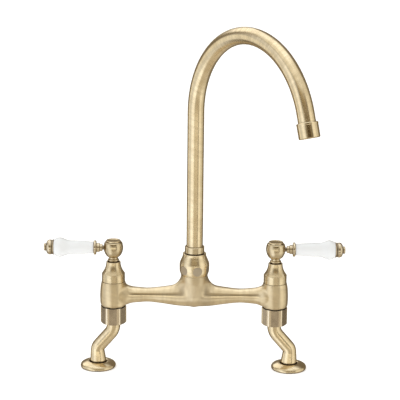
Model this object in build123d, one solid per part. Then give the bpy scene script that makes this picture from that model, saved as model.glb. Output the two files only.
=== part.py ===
from build123d import *
import math
import os

os.makedirs("parts", exist_ok=True)

# Bridge kitchen tap.  Sizes are in millimetres.  +Z is up, X runs along the bridge and
# -Y is the side where the user stands.  The origin lies on the deck, midway between the
# two tap holes.  At rest both levers point straight out to the sides.

# ---- clearances ------------------------------------------------------------------
running_gap = 0.05  # radial, between a shaft and the bore that it turns in
sliding_gap = 0.05  # between flat faces that slide over each other
thread_gap = 0.05  # radial, between a male and a female thread
joint_gap = 0.02  # radial, between soldered or glued pieces
slip_gap = 0.3  # radial, where a fixed piece drops into another
swing_gap = 0.5  # between a turning piece and the shell that it passes through

# ---- legs and deck ---------------------------------------------------------------
valve_spacing = 180.0  # between the axes of the two valves
leg_offset = 17.4  # from the valve axis out to the axis of the leg's foot
leg_lean = 0.6  # from the foot's axis further out to the tube above it
leg_height = 58.0  # deck to the underside of the leg's union collar
leg_neck_length = 8.2  # straight length under the union collar
leg_slope = 41.0  # degrees of the cranked run from upright
leg_upper_bend_radius = 15.5
leg_lower_bend_radius = 9.5
leg_radius = 7.6
leg_bore_radius = 4.0
leg_collar_height = 3.0
foot_radius = 8.9
foot_height = 9.0  # length of the foot's straight cylinder
foot_step_height = 8.0  # underside of the foot, where it narrows
foot_edge = 0.25  # broken edge under the foot
spigot_radius = 7.5  # narrow end of the leg, inside the base flange
foot_plate_radius = 13.0
foot_plate_height = 1.8
inlet_core_radius = 5.5  # M12 x 1 internal thread
inlet_depth = 14.0
seal_height = 0.9
seal_bore_gap = 0.4

# ---- base flanges ----------------------------------------------------------------
flange_radius = 19.7
flange_foot_radius = 18.9  # where the rounded edge meets the deck
flange_rim_height = 3.2
flange_height = 7.0
flange_hole_radius = 9.9
flange_shoulder_width = 3.6  # each end of the sloping part of the dome
flange_lip_width = 0.8
locking_screw_radius = 1.0
locking_screw_recess = 0.5
locking_socket_radius = 0.55
locking_socket_depth = 0.8

# ---- unions ----------------------------------------------------------------------
union_thread_radius = 10.4  # G1/2
union_washer_height = 1.5
union_washer_bore_radius = 5.5
union_tail_length = 9.7  # threaded tail below the valve barrel
nut_across_flats = 25.5
nut_height = 19.5
nut_lip_height = 5.6
nut_edge_radius = 2.4
nut_chamfer = 1.0
nut_mouth_radius = 11.6
nut_mouth_depth = 4.4
nut_bevel = 1.5  # depth of the bevelled mouth
nut_bevel_slope = 0.6  # rise of the bevel over its width
dust_ring_bore_gap = 0.1

# ---- bridge body -----------------------------------------------------------------
barrel_height = 28.3
barrel_radius = 14.85
barrel_foot_radius = 12.3
barrel_top_radius = 13.1
barrel_belly_places = (0.06, 0.21, 0.38, 0.565, 0.785)  # shares of the barrel's height
barrel_belly_drops = (0.85, 0.15, 0.0, 0.15, 0.6)  # how far the radius falls short there
bridge_axis_drop = 15.4  # from the top of the barrels down to the bridge axis
bridge_middle_radius = 12.6
bridge_waist_radius = 7.95
bridge_waist_inset = 36.0  # from the valve axis in to the waist of the arm
bridge_end_radius = 11.3
bridge_neck_width = 4.2  # part of the arm that swells towards the barrel
boss_height = 24.0  # bridge axis to the top shoulder of the middle boss
boss_radius = 14.7
boss_belly_drop = 13.2  # bridge axis to the bottom of the belly
boss_belly_shoulder = 2.8  # bridge axis to where the belly starts to round in
boss_fillet = 14.5
barrel_fillet = 5.0
arm_bore_radius = 4.0
boss_thread_radius = 12.4
boss_thread_length = 9.0
spout_socket_radius = 9.0
spout_socket_depth = 36.0  # below the end face of the boss thread

# ---- valve insert ----------------------------------------------------------------
valve_thread_length = 8.5
valve_bore_radius = 9.0
valve_bore_depth = 21.0  # from the top of the barrel to the seat
valve_port_radius = 5.0
insert_body_gap = 0.4
insert_flange_radius = 11.2
insert_flange_height = 1.2
insert_hex_across_flats = 19.0
insert_hex_height = 4.0
insert_neck_radius = 6.4
insert_neck_length = 12.0
insert_wall = 1.5
seat_seal_height = 1.5
disc_thickness = 2.6
disc_side_gap = 0.35
disc_port_radius = 2.1
disc_port_place = 3.6  # from the valve axis
disc_web_radius = 3.1  # middle of the moving disc, between its two openings
window_width = 6.0
window_height = 3.4
chamber_clear = 5.2  # height of the chamber above the moving disc
spindle_radius = 3.9
driver_height = 1.8
driver_side_gap = 0.6
spline_teeth = 12
spline_depth = 0.45
spline_gap = 0.04
spindle_ring_width = 1.6
spindle_ring_depth = 0.9
spindle_ring_pitch = 4.5
clip_height = 0.8
clip_radius = 5.2
clip_groove_depth = 0.7

# ---- bonnets ---------------------------------------------------------------------
bonnet_height = 22.8
bonnet_radius = 12.9
bonnet_band_height = 9.0
bonnet_top_radius = 7.9
bonnet_rim_height = 3.0  # upright rim at the top
bonnet_wall = 1.4
bonnet_mouth_radius = 6.2
bonnet_mouth_height = 3.2
bonnet_edge = 0.3  # broken edges

# ---- handle hubs -----------------------------------------------------------------
lever_rise = 15.7  # top of the bonnet to the lever axis
hub_radius = 10.85
hub_rise = 1.0  # lever axis to the widest level of the hub
hub_top_rise = 6.8  # lever axis to the rim of the hub
hub_top_radius = 8.9
hub_neck_radius = 5.0
hub_neck_rise = 3.5  # top of the bonnet to the start of the neck
hub_neck_height = 1.7
hub_bead_radius = 6.3
hub_bead_rise = 1.0  # top of the bonnet to the start of the bead
hub_tail_radius = 5.1
hub_tail_length = 2.2
hub_socket_top_drop = 4.0  # lever axis down to the end of the splined socket
hub_web_height = 2.2
hub_bore_radius = 4.4
cap_radius = 8.1
cap_height = 1.5
cap_crease = 0.35
cap_edge = 0.4
cap_rim_width = 1.3
cap_dish_depth = 0.45
cap_plug_length = 3.0
hub_screw_radius = 2.0
hub_screw_length = 9.0
hub_screw_head_radius = 3.6
hub_screw_head_height = 2.8
hub_screw_socket_across = 2.6

# ---- levers (distances from the valve axis) --------------------------------------
stem_start = 5.6
stem_neck_radius = 2.3
stem_neck_end = 12.2
stem_first_step_radius = 4.0
stem_first_step_end = 15.2
stem_second_step_radius = 5.0
stem_second_step_end = 19.0
stem_flange_radius = 8.0
stem_flange_width = 2.6
cushion_height = 0.4
cushion_inset = 0.9
stem_edge = 0.35  # broken edges of the steps
grip_length = 43.8
grip_start_radius = 6.5
grip_waist_radius = 8.0
grip_waist_place = 28.0  # from the inner end of the grip
grip_bulb_radius = 10.8
grip_bulb_place = 37.2
grip_bulb_half_width = 4.1  # where the bulb is 1 mm under its full radius
grip_end_radius = 8.5
grip_edge = 0.3
grip_bore_gap = 0.3
rod_radius = 1.9
rod_grip_length = 6.0  # thread held by the stem and by the end cap
cap_lip_radius = 8.6
cap_hollow_radius = 7.9
cap_band_radius = 8.2
cap_band_start = 2.9  # from the grip's end of the cap
cap_dome_length = 7.9
cap_button_radius = 4.2
cap_button_length = 2.9
cap_button_groove = 0.8  # depth of the groove behind the button

# ---- spout -----------------------------------------------------------------------
spout_swing = -53.6  # degrees, direction of the spout at rest
tube_radius = 9.07
tube_wall = 1.1
riser_height = 183.4  # seam below the shroud nut to the start of the bend
bend_radius = 93.9
bend_angle = 162.9
outlet_length = 9.2  # straight tube between the bend and the nozzle
tube_socket_length = 5.0  # tube inside the nozzle
spout_collar_radius = 10.8
spout_collar_height = 7.4
spout_collar_lift = 0.7
spout_collar_edge = 0.5
spigot_length = 24.0  # below the shoulder
spigot_bore_radius = 6.6
spigot_sleeve_length = 9.0
spigot_shoulder_height = 2.8
ring_width = 2.4
ring_depth = 1.7
ring_pitch = 7.0
bearing_height = 1.2
bearing_side_gap = 0.2

# ---- shroud nut ------------------------------------------------------------------
shroud_height = 24.8
shroud_radius = 16.45
shroud_foot_radius = 14.6
shroud_top_radius = 13.05
shroud_edge = 0.4
shroud_lip_gap = 0.6
shroud_flats = 6
shroud_flat_radius = 5.3
shroud_flat_depth = 0.95
shroud_flat_rise = 7.2
shroud_flat_turn = 13.0  # degrees of the front flat from straight ahead

# ---- nozzle ----------------------------------------------------------------------
nozzle_length = 15.8
nozzle_top_radius = 11.1
nozzle_end_radius = 10.9
nozzle_ledge = 1.2
nozzle_edge = 0.6
nozzle_step_radius = 9.4
insert_length = 8.0
aerator_washer_height = 1.6
aerator_recess = 0.8  # from the mouth of the nozzle to the face of the insert
aerator_wall = 1.2
aerator_slot_count = 5
aerator_slot_pitch = 2.8
aerator_slot_width = 1.3

# ---- levels worked out from the sizes above --------------------------------------
valve_place = valve_spacing / 2
foot_place = valve_place + leg_offset
crank_top = leg_height - leg_neck_length
tail_bottom = leg_height + leg_collar_height + union_washer_height
barrel_bottom = tail_bottom + union_tail_length
barrel_top = barrel_bottom + barrel_height
bridge_level = barrel_top - bridge_axis_drop
bridge_waist_place = valve_place - bridge_waist_inset
boss_top = bridge_level + boss_height
boss_end = boss_top + boss_thread_length
nut_bottom = leg_height - nut_lip_height
nut_top = nut_bottom + nut_height
seat_level = barrel_top - valve_bore_depth
insert_bottom = seat_level + seat_seal_height
disc_face = insert_bottom + disc_thickness
moving_disc_bottom = disc_face + sliding_gap
driver_bottom = moving_disc_bottom + disc_thickness
chamber_top = moving_disc_bottom + chamber_clear
hex_bottom = barrel_top + insert_flange_height
neck_bottom = hex_bottom + insert_hex_height
neck_top = neck_bottom + insert_neck_length
clip_bottom = neck_top + sliding_gap
bonnet_top = barrel_top + bonnet_height
lever_level = bonnet_top + lever_rise
socket_top = lever_level - hub_socket_top_drop
web_top = socket_top + hub_web_height
hub_top = lever_level + hub_top_rise
cap_bottom = hub_top + cap_crease
tail_end = bonnet_top - hub_tail_length
stem_end = stem_second_step_end + stem_flange_width
grip_start = stem_end + cushion_height
grip_end = grip_start + grip_length
lever_cap_start = grip_end + cushion_height
shroud_top = boss_top + shroud_height
spout_collar_bottom = shroud_top + spout_collar_lift
riser_top = boss_top + riser_height
shoulder_bottom = boss_end + bearing_height + sliding_gap
shoulder_top = shoulder_bottom + spigot_shoulder_height
upper_bearing_bottom = shoulder_top + sliding_gap
shroud_ceiling = upper_bearing_bottom + bearing_height
tube_bore_radius = tube_radius - tube_wall
front = -90.0  # direction of the user


# ---- helpers ---------------------------------------------------------------------
def line(*points):
    """Straight run through (radius, height) points."""
    return Polyline(*[(radius, 0, height) for radius, height in points]).edges()


def curve(*points):
    """One smooth run through (radius, height) points."""
    return Spline(*[(radius, 0, height) for radius, height in points]).edges()


def outline(*runs):
    """Closed face in the XZ plane, whose runs are joined end to start by straight edges."""
    edges = []
    for run in runs:
        if edges and (edges[-1] @ 1 - run[0] @ 0).length > joint_gap / 100:
            edges.append(Edge.make_line(edges[-1] @ 1, run[0] @ 0))
        edges.extend(run)
    if (edges[-1] @ 1 - edges[0] @ 0).length > joint_gap / 100:
        edges.append(Edge.make_line(edges[-1] @ 1, edges[0] @ 0))
    return make_face(edges)


def turned(*runs):
    """Solid turned about the upright axis."""
    return revolve(outline(*runs), Axis.Z)


def rod(radius, bottom, top):
    """Upright round bar between two levels."""
    return Pos(0, 0, bottom) * Cylinder(radius, top - bottom, align=(Align.CENTER, Align.CENTER, Align.MIN))


def ring(bore_radius, radius, bottom, top):
    """Upright round ring between two levels."""
    return rod(radius, bottom, top) - rod(bore_radius, bottom, top)


def hexagon(across_flats, bottom, top):
    """Upright hexagon bar with two flats across Y."""
    return Pos(0, 0, bottom) * extrude(
        RegularPolygon(across_flats / 2, 6, major_radius=False), top - bottom
    )


def rounded_ring(bore_radius, radius, middle, height):
    """Ring of rubber whose section has well rounded corners."""
    band = ring(bore_radius, radius, middle - height / 2, middle + height / 2)
    return fillet(band.edges(), min(height, radius - bore_radius) * 0.4)


def save(node, shape):
    """Write one piece under its own name."""
    shape.label = node
    export_step(shape, f"parts/{node}.step")


# ---- legs ------------------------------------------------------------------------
def leg_path(side):
    """Centre line of the cranked leg, from its foot up to its union collar."""
    slope = math.radians(leg_slope)
    shift = leg_offset + leg_lean
    run_shift = shift - (leg_upper_bend_radius + leg_lower_bend_radius) * (1 - math.cos(slope))
    run_drop = run_shift / math.tan(slope)
    bend_drop = (leg_upper_bend_radius + leg_lower_bend_radius) * math.sin(slope)
    crank_bottom = crank_top - bend_drop - run_drop

    def upper_spot(turn):
        reach = leg_upper_bend_radius * (1 - math.cos(turn))
        return (side * reach, 0, crank_top - leg_upper_bend_radius * math.sin(turn))

    def lower_spot(turn):
        reach = shift - leg_lower_bend_radius * (1 - math.cos(turn))
        return (side * reach, 0, crank_bottom + leg_lower_bend_radius * math.sin(turn))

    foot_end = (side * shift, 0, foot_height)
    foot_bend = (side * shift, 0, crank_bottom)
    neck_bend = (0, 0, crank_top)
    neck_end = (0, 0, leg_height + leg_collar_height)
    edges = Line(foot_end, foot_bend).edges()
    edges += ThreePointArc(foot_bend, lower_spot(slope / 2), lower_spot(slope)).edges()
    edges += Line(lower_spot(slope), upper_spot(slope)).edges()
    edges += ThreePointArc(upper_spot(slope), upper_spot(slope / 2), neck_bend).edges()
    edges += Line(neck_bend, neck_end).edges()
    return Wire(edges), crank_bottom


def make_leg(side):
    """Cranked leg: foot plate, flared foot, S-shaped tube and union collar, with its waterway."""
    path, crank_bottom = leg_path(side)
    start = Plane(origin=path @ 0, z_dir=(0, 0, 1))
    tube = sweep(start * Circle(leg_radius), path=path)
    waterway = sweep(start * Circle(leg_bore_radius), path=path)
    plate_top = seal_height + foot_plate_height
    foot = turned(
        line(
            (0, 0),
            (spigot_radius, 0),
            (spigot_radius, seal_height),
            (foot_plate_radius, seal_height),
            (foot_plate_radius, plate_top),
            (spigot_radius, plate_top),
            (spigot_radius, foot_step_height),
            (foot_radius - foot_edge, foot_step_height),
            (foot_radius, foot_step_height + foot_edge),
            (foot_radius, foot_height),
            (0, foot_height),
        )
    )
    flare = loft(
        [
            Pos(side * leg_offset, 0, foot_height) * Circle(foot_radius),
            Pos(side * (leg_offset + leg_lean), 0, crank_bottom) * Circle(leg_radius),
        ]
    )
    collar = rod(union_thread_radius - slip_gap, leg_height, leg_height + leg_collar_height)
    leg = tube + flare + Pos(side * leg_offset, 0, 0) * foot + collar
    inlet = Pos(side * leg_offset, 0, 0) * rod(inlet_core_radius, 0, inlet_depth)
    return leg - waterway - inlet


def locking_level():
    """Level of the locking screw: the middle of the foot plate's edge."""
    return seal_height + foot_plate_height / 2


def make_base_flange():
    """Domed flange round the foot, hollow underneath to take the leg's foot plate."""
    plate_top = seal_height + foot_plate_height
    shell = turned(
        curve(
            (flange_foot_radius, 0),
            (flange_radius, flange_rim_height * 0.5),
            (flange_radius - 0.1, flange_rim_height * 0.95),
            (flange_radius - 1.0, flange_rim_height + 1.2),
            (flange_radius - flange_shoulder_width, flange_height - 1.2),
            (flange_hole_radius + flange_shoulder_width, flange_height - 0.3),
            (flange_hole_radius + flange_lip_width, flange_height),
        ),
        line(
            (flange_hole_radius, flange_height - flange_lip_width / 2),
            (flange_hole_radius, plate_top),
            (foot_plate_radius + slip_gap, plate_top),
            (foot_plate_radius + slip_gap, 0),
        ),
    )
    screw_hole = Plane(origin=(0, 0, locking_level()), z_dir=(0, -1, 0)) * extrude(
        Circle(locking_screw_radius + thread_gap), flange_radius
    )
    return shell - screw_hole


def make_deck_seal():
    """Flat rubber ring under the foot plate."""
    return ring(spigot_radius + seal_bore_gap, foot_plate_radius, 0, seal_height)


def make_locking_screw():
    """Socket screw in the front of the flange's rim, with its tip on the foot plate."""
    length = flange_radius - locking_screw_recess - foot_plate_radius
    screw = rod(locking_screw_radius, 0, length)
    socket = Pos(0, 0, length - locking_socket_depth) * extrude(
        RegularPolygon(locking_socket_radius, 6), locking_socket_depth
    )
    return Pos(0, -foot_plate_radius, locking_level()) * Rot(90, 0, 0) * (screw - socket)


# ---- unions ----------------------------------------------------------------------
def make_union_nut():
    """Hexagon union nut with an inner lip under the leg's collar and a bevelled mouth."""
    corner_radius = nut_across_flats / 2 / math.cos(math.radians(30))
    blank = hexagon(nut_across_flats, nut_bottom, nut_top)
    blank = fillet(blank.edges().filter_by(Axis.Z), nut_edge_radius)
    flat_radius = nut_across_flats / 2
    turning = turned(
        line(
            (0, nut_bottom),
            (flat_radius, nut_bottom),
            (corner_radius, nut_bottom + nut_chamfer),
            (corner_radius, nut_top),
            (0, nut_top),
        )
    )
    mouth_floor = nut_top - nut_mouth_depth
    bevel_rise = (corner_radius - nut_mouth_radius) * nut_bevel_slope - nut_bevel
    hollow = turned(
        line(
            (0, nut_bottom),
            (leg_radius + slip_gap, nut_bottom),
            (leg_radius + slip_gap, leg_height),
            (union_thread_radius + thread_gap, leg_height),
            (union_thread_radius + thread_gap, mouth_floor),
            (nut_mouth_radius, mouth_floor),
            (nut_mouth_radius, nut_top - nut_bevel),
            (corner_radius, nut_top + bevel_rise),
            (0, nut_top + bevel_rise),
        )
    )
    return (blank & turning) - hollow


def make_dust_ring():
    """Black ring that closes the mouth of the union nut under the valve barrel."""
    return ring(
        union_thread_radius + dust_ring_bore_gap,
        nut_mouth_radius - dust_ring_bore_gap,
        nut_top - nut_mouth_depth,
        barrel_bottom,
    )


def make_union_washer():
    """Fibre washer between the leg's collar and the valve's tail."""
    collar_top = leg_height + leg_collar_height
    return ring(
        union_washer_bore_radius,
        union_thread_radius - slip_gap,
        collar_top,
        collar_top + union_washer_height,
    )


# ---- bridge body -----------------------------------------------------------------
def make_bridge_arms():
    """Waisted bar of the bridge, turned about its own length."""
    waist_half_way = (bridge_middle_radius + bridge_waist_radius) / 2
    barrel_face = valve_place - barrel_radius
    half = [
        (bridge_middle_radius, 0),
        (bridge_middle_radius - 0.7, bridge_waist_place * 0.325),
        (waist_half_way - 0.15, bridge_waist_place * 0.57),
        (bridge_waist_radius + 0.7, bridge_waist_place * 0.78),
        (bridge_waist_radius, bridge_waist_place),
        (bridge_waist_radius + 0.55, (bridge_waist_place * 2 + barrel_face) / 3),
        (bridge_waist_radius + 1.85, barrel_face - bridge_neck_width),
        (bridge_end_radius, barrel_face),
        (bridge_end_radius, valve_place),
    ]
    points = [(radius, -place) for radius, place in reversed(half[1:])] + half
    end = half[-1][1]
    bar = turned(curve(*points), line((0, end), (0, -end)))
    return Pos(0, 0, bridge_level) * Rot(0, 90, 0) * bar


def make_middle_boss():
    """Middle boss of the bridge, with a rounded belly."""
    shoulder = bridge_level + boss_belly_shoulder
    bottom = bridge_level - boss_belly_drop
    diagonal = math.sqrt(0.5)
    belly = Spline(
        (0, 0, bottom),
        (boss_radius * diagonal, 0, shoulder - (shoulder - bottom) * diagonal),
        (boss_radius, 0, shoulder),
        tangents=((1, 0, 0), (0, 0, 1)),
    ).edges()
    return turned(belly, line((boss_radius, shoulder), (boss_radius, boss_top), (0, boss_top)))


def make_valve_barrel():
    """Upright valve barrel, with its belly and its threaded tail."""
    belly = [
        (barrel_radius - drop, barrel_bottom + barrel_height * place)
        for place, drop in zip(barrel_belly_places, barrel_belly_drops)
    ]
    barrel = turned(
        curve((barrel_foot_radius, barrel_bottom), *belly, (barrel_top_radius, barrel_top)),
        line((0, barrel_top), (0, barrel_bottom)),
    )
    return barrel + rod(union_thread_radius, tail_bottom, barrel_bottom)


def make_bridge_body():
    """One casting: the bridge, the middle boss and both valve barrels, with their waterways."""
    arms = make_bridge_arms()
    boss = make_middle_boss()
    bridge = arms + boss
    bridge = fillet(new_edges(arms, boss, combined=bridge), boss_fillet)
    places = [Pos(-valve_place, 0, 0), Pos(valve_place, 0, 0)]
    for place in places:
        barrel = place * make_valve_barrel()
        joined = bridge + barrel
        junction = [
            edge
            for edge in new_edges(bridge, barrel, combined=joined)
            if abs(edge.center().X) < valve_place
        ]
        bridge = fillet(junction, barrel_fillet)
    bridge += rod(boss_thread_radius, boss_top, boss_end)
    valve_hollow = rod(union_thread_radius + thread_gap, barrel_top - valve_thread_length, barrel_top)
    valve_hollow += rod(valve_bore_radius, seat_level, barrel_top)
    valve_hollow += rod(valve_port_radius, tail_bottom, seat_level)
    waterway = Pos(0, 0, bridge_level) * Rot(0, 90, 0) * rod(arm_bore_radius, -valve_place, valve_place)
    socket = rod(spout_socket_radius, boss_end - spout_socket_depth, boss_end)
    bridge -= waterway
    bridge -= socket
    for place in places:
        bridge -= place * valve_hollow
    return bridge


# ---- valve inserts ---------------------------------------------------------------
def insert_radius():
    """Outer radius of the insert's body in the barrel's bore."""
    return valve_bore_radius - insert_body_gap


def chamber_radius():
    """Inner radius of the insert's disc chamber."""
    return insert_radius() - insert_wall


def disc_ports():
    """Two round ports, opposite each other."""
    port = rod(disc_port_radius, insert_bottom, driver_bottom)
    return Pos(disc_port_place, 0, 0) * port + Pos(-disc_port_place, 0, 0) * port


def make_seat_seal():
    """Rubber ring between the bottom of the insert and the seat in the barrel."""
    return ring(valve_port_radius + seal_bore_gap, insert_radius(), seat_level, insert_bottom)


def make_fixed_disc():
    """Ceramic disc that stays still, with two ports."""
    disc = rod(chamber_radius() - joint_gap, insert_bottom, disc_face)
    return disc - disc_ports()


def make_moving_disc():
    """Ceramic disc that turns with the spindle, cut away where the water passes."""
    disc = rod(chamber_radius() - disc_side_gap, moving_disc_bottom, driver_bottom)
    cut = Pos(0, 0, moving_disc_bottom) * Box(
        disc_port_radius * 2,
        chamber_radius() * 2,
        disc_thickness,
        align=(Align.CENTER, Align.CENTER, Align.MIN),
    )
    web = rod(disc_web_radius, moving_disc_bottom, driver_bottom)
    return disc - (cut - web)


def make_valve_insert():
    """Brass body of the quarter-turn valve, screwed into the barrel."""
    body = rod(insert_radius(), insert_bottom, barrel_top)
    body += rod(union_thread_radius, barrel_top - valve_thread_length, barrel_top)
    body += rod(insert_flange_radius, barrel_top, hex_bottom)
    body += hexagon(insert_hex_across_flats, hex_bottom, neck_bottom)
    body += rod(insert_neck_radius, neck_bottom, neck_top)
    body -= rod(chamber_radius(), insert_bottom, chamber_top)
    body -= rod(spindle_radius + running_gap, chamber_top, neck_top)
    window = Pos(0, 0, chamber_top - window_height) * Box(
        valve_bore_radius * 2.4,
        window_width,
        window_height,
        align=(Align.CENTER, Align.CENTER, Align.MIN),
    )
    return body - window


def splined(radius, bottom, top):
    """Upright bar with V-shaped splines."""
    points = []
    for step in range(2 * spline_teeth):
        reach = radius if step % 2 == 0 else radius - spline_depth
        turn = math.pi * step / spline_teeth
        points.append((reach * math.cos(turn), reach * math.sin(turn)))
    return Pos(0, 0, bottom) * extrude(make_face(Polyline(*points, close=True)), top - bottom)


def spline_radius():
    """Tip radius of the spindle's splines, which pass through the insert's bore."""
    return spindle_radius - joint_gap


def ring_levels():
    """Middle levels of the two rubber rings on the spindle."""
    first = neck_bottom + spindle_ring_pitch / 2
    return [first, first + spindle_ring_pitch]


def make_spindle():
    """Spindle that turns the moving disc, with ring grooves, clip groove and splined head."""
    driver_top = driver_bottom + driver_height
    spline_start = clip_bottom + clip_height + joint_gap
    spindle = rod(chamber_radius() - driver_side_gap, driver_bottom, driver_top)
    spindle += rod(spindle_radius, driver_top, spline_start)
    spindle += splined(spline_radius(), spline_start, socket_top)
    for level in ring_levels():
        spindle -= ring(
            spindle_radius - spindle_ring_depth,
            spindle_radius * 2,
            level - spindle_ring_width / 2,
            level + spindle_ring_width / 2,
        )
    spindle -= ring(
        spindle_radius - clip_groove_depth,
        spindle_radius * 2,
        clip_bottom,
        clip_bottom + clip_height,
    )
    screw_tip = web_top - hub_screw_length
    return spindle - rod(hub_screw_radius + thread_gap, screw_tip, socket_top)


def make_spindle_rings():
    """The two rubber rings in the spindle's grooves."""
    rings = [
        rounded_ring(
            spindle_radius - spindle_ring_depth,
            spindle_radius,
            level,
            spindle_ring_width - 2 * joint_gap,
        )
        for level in ring_levels()
    ]
    return Compound(rings)


def make_spindle_clip():
    """Open steel clip in the spindle's groove, above the insert's neck."""
    clip = ring(spindle_radius - clip_groove_depth, clip_radius, clip_bottom, clip_bottom + clip_height)
    gap = Pos(0, clip_radius, clip_bottom) * Box(
        spindle_radius, clip_radius * 2, clip_height, align=(Align.CENTER, Align.CENTER, Align.MIN)
    )
    return clip - gap


def make_bonnet():
    """Bell-shaped cover over the insert, with an open mouth for the handle's tail."""
    band_top = barrel_top + bonnet_band_height
    mouth_bottom = bonnet_top - bonnet_mouth_height
    return turned(
        line(
            (bonnet_radius - bonnet_edge, barrel_top),
            (bonnet_radius - 0.1, barrel_top + 2 * bonnet_edge),
            (bonnet_radius - 0.1, band_top - 2 * bonnet_edge),
            (bonnet_radius, band_top),
        ),
        curve(
            (bonnet_radius - bonnet_edge, band_top + 2 * bonnet_edge),
            (bonnet_radius - 1.95, band_top + 3.0),
            (bonnet_radius - 3.3, band_top + 5.5),
            (bonnet_radius - 4.2, band_top + 8.0),
            (bonnet_top_radius + 0.2, bonnet_top - bonnet_rim_height),
            (bonnet_top_radius, bonnet_top - bonnet_edge),
        ),
        line(
            (bonnet_top_radius - bonnet_edge, bonnet_top),
            (bonnet_mouth_radius + bonnet_edge, bonnet_top),
            (bonnet_mouth_radius, bonnet_top - bonnet_edge),
            (bonnet_mouth_radius, mouth_bottom),
            (insert_neck_radius + slip_gap, mouth_bottom),
            (insert_neck_radius + slip_gap, mouth_bottom - 2 * bonnet_wall),
            (bonnet_radius - bonnet_wall, band_top - bonnet_wall),
            (bonnet_radius - bonnet_wall, barrel_top),
        ),
    )


# ---- handle hubs -----------------------------------------------------------------
def make_handle_hub(side):
    """Ball-shaped hub: splined socket below, screw bore above, tapped at the side for the lever."""
    middle = lever_level + hub_rise
    bead_bottom = bonnet_top + hub_bead_rise
    neck_start = bonnet_top + hub_neck_rise
    neck_end = neck_start + hub_neck_height
    bead_height = neck_start - bead_bottom
    ball = turned(
        line((hub_tail_radius, tail_end), (hub_tail_radius, bead_bottom)),
        curve(
            (hub_bead_radius - 0.5, bead_bottom),
            (hub_bead_radius, bead_bottom + bead_height * 0.35),
            (hub_bead_radius - 0.4, bead_bottom + bead_height * 0.7),
            (hub_neck_radius, neck_start),
        ),
        line((hub_neck_radius, neck_start), (hub_neck_radius, neck_end)),
        curve(
            (hub_neck_radius + 0.3, neck_end),
            (hub_radius - 4.4, middle - hub_radius),
            (hub_radius - 1.1, middle - hub_radius * 0.57),
            (hub_radius, middle),
            (hub_radius - 0.5, middle + hub_radius * 0.3),
            (hub_top_radius + 0.55, hub_top - cap_edge),
            (hub_top_radius, hub_top),
        ),
        line((0, hub_top), (0, tail_end)),
    )
    hub = ball - splined(spline_radius() + spline_gap, tail_end, socket_top)
    hub -= rod(hub_screw_radius + slip_gap, socket_top, web_top)
    hub -= rod(hub_bore_radius, web_top, hub_top)
    tapping = rod(stem_neck_radius + thread_gap, 0, hub_radius + 1)
    return hub - Pos(0, 0, lever_level) * Rot(0, side * 90, 0) * tapping


def make_hub_cap():
    """Flat cap on the hub, pushed into the screw bore by its plug."""
    cap_top = cap_bottom + cap_height
    plug_bottom = hub_top - cap_plug_length
    return turned(
        line(
            (0, plug_bottom),
            (hub_bore_radius - joint_gap, plug_bottom),
            (hub_bore_radius - joint_gap, hub_top),
            (cap_radius - cap_crease, hub_top),
            (cap_radius - cap_crease, cap_bottom),
            (cap_radius - cap_edge / 2, cap_bottom),
            (cap_radius, cap_bottom + cap_edge / 2),
            (cap_radius, cap_top - cap_edge),
            (cap_radius - cap_edge, cap_top),
            (cap_radius - cap_rim_width, cap_top),
        ),
        curve(
            (cap_radius - cap_rim_width - 0.2, cap_top - 0.25),
            (cap_radius * 0.5, cap_top - cap_dish_depth),
            (0, cap_top - cap_dish_depth - 0.05),
        ),
    )


def make_hub_screw():
    """Screw through the hub's web into the head of the spindle."""
    shank_length = hub_screw_length - joint_gap
    screw = rod(hub_screw_radius, web_top - shank_length, web_top)
    screw += rod(hub_screw_head_radius, web_top, web_top + hub_screw_head_height)
    socket_bottom = web_top + hub_screw_head_height / 3
    return screw - hexagon(hub_screw_socket_across, socket_bottom, web_top + hub_screw_head_height)


# ---- levers ----------------------------------------------------------------------
def lever_place(side):
    """Frame of a lever: its own upright axis laid outward at the lever's level."""
    return Pos(0, 0, lever_level) * Rot(0, side * 90, 0)


def make_lever_stem():
    """Turned brass stem with two steps and a round flange."""
    soft = stem_edge
    stem = turned(
        line(
            (0, stem_start),
            (stem_neck_radius, stem_start),
            (stem_neck_radius, stem_neck_end),
            (stem_first_step_radius - soft, stem_neck_end),
            (stem_first_step_radius, stem_neck_end + soft),
            (stem_first_step_radius, stem_first_step_end - soft),
            (stem_first_step_radius - soft, stem_first_step_end),
            (stem_second_step_radius - soft, stem_first_step_end),
            (stem_second_step_radius, stem_first_step_end + soft),
            (stem_second_step_radius, stem_second_step_end),
        ),
        curve(
            (stem_flange_radius - 2 * soft, stem_second_step_end),
            (stem_flange_radius - soft / 2, stem_second_step_end + soft),
            (stem_flange_radius, stem_second_step_end + stem_flange_width / 2),
            (stem_flange_radius - soft / 2, stem_end - soft),
            (stem_flange_radius - 2 * soft, stem_end),
        ),
        line((0, stem_end), (0, stem_start)),
    )
    return stem - rod(rod_radius + thread_gap, stem_end - rod_grip_length, stem_end)


def make_lever_grip():
    """Turned porcelain grip with a swelling near its outer end."""
    neck = grip_start + grip_waist_place
    bulb = grip_start + grip_bulb_place
    return turned(
        curve(
            (grip_start_radius, grip_start + grip_edge),
            (grip_start_radius + 0.35, grip_start + grip_waist_place * 0.21),
            (grip_waist_radius - 0.35, grip_start + grip_waist_place * 0.79),
            (grip_waist_radius, neck),
            (grip_bulb_radius - 1.0, bulb - grip_bulb_half_width),
            (grip_bulb_radius, bulb),
            (grip_bulb_radius - 1.0, bulb + grip_bulb_half_width),
            (grip_end_radius, grip_end - grip_edge),
        ),
        line(
            (grip_end_radius - grip_edge, grip_end),
            (rod_radius + grip_bore_gap, grip_end),
            (rod_radius + grip_bore_gap, grip_start),
            (grip_start_radius - grip_edge, grip_start),
        ),
    )


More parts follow.
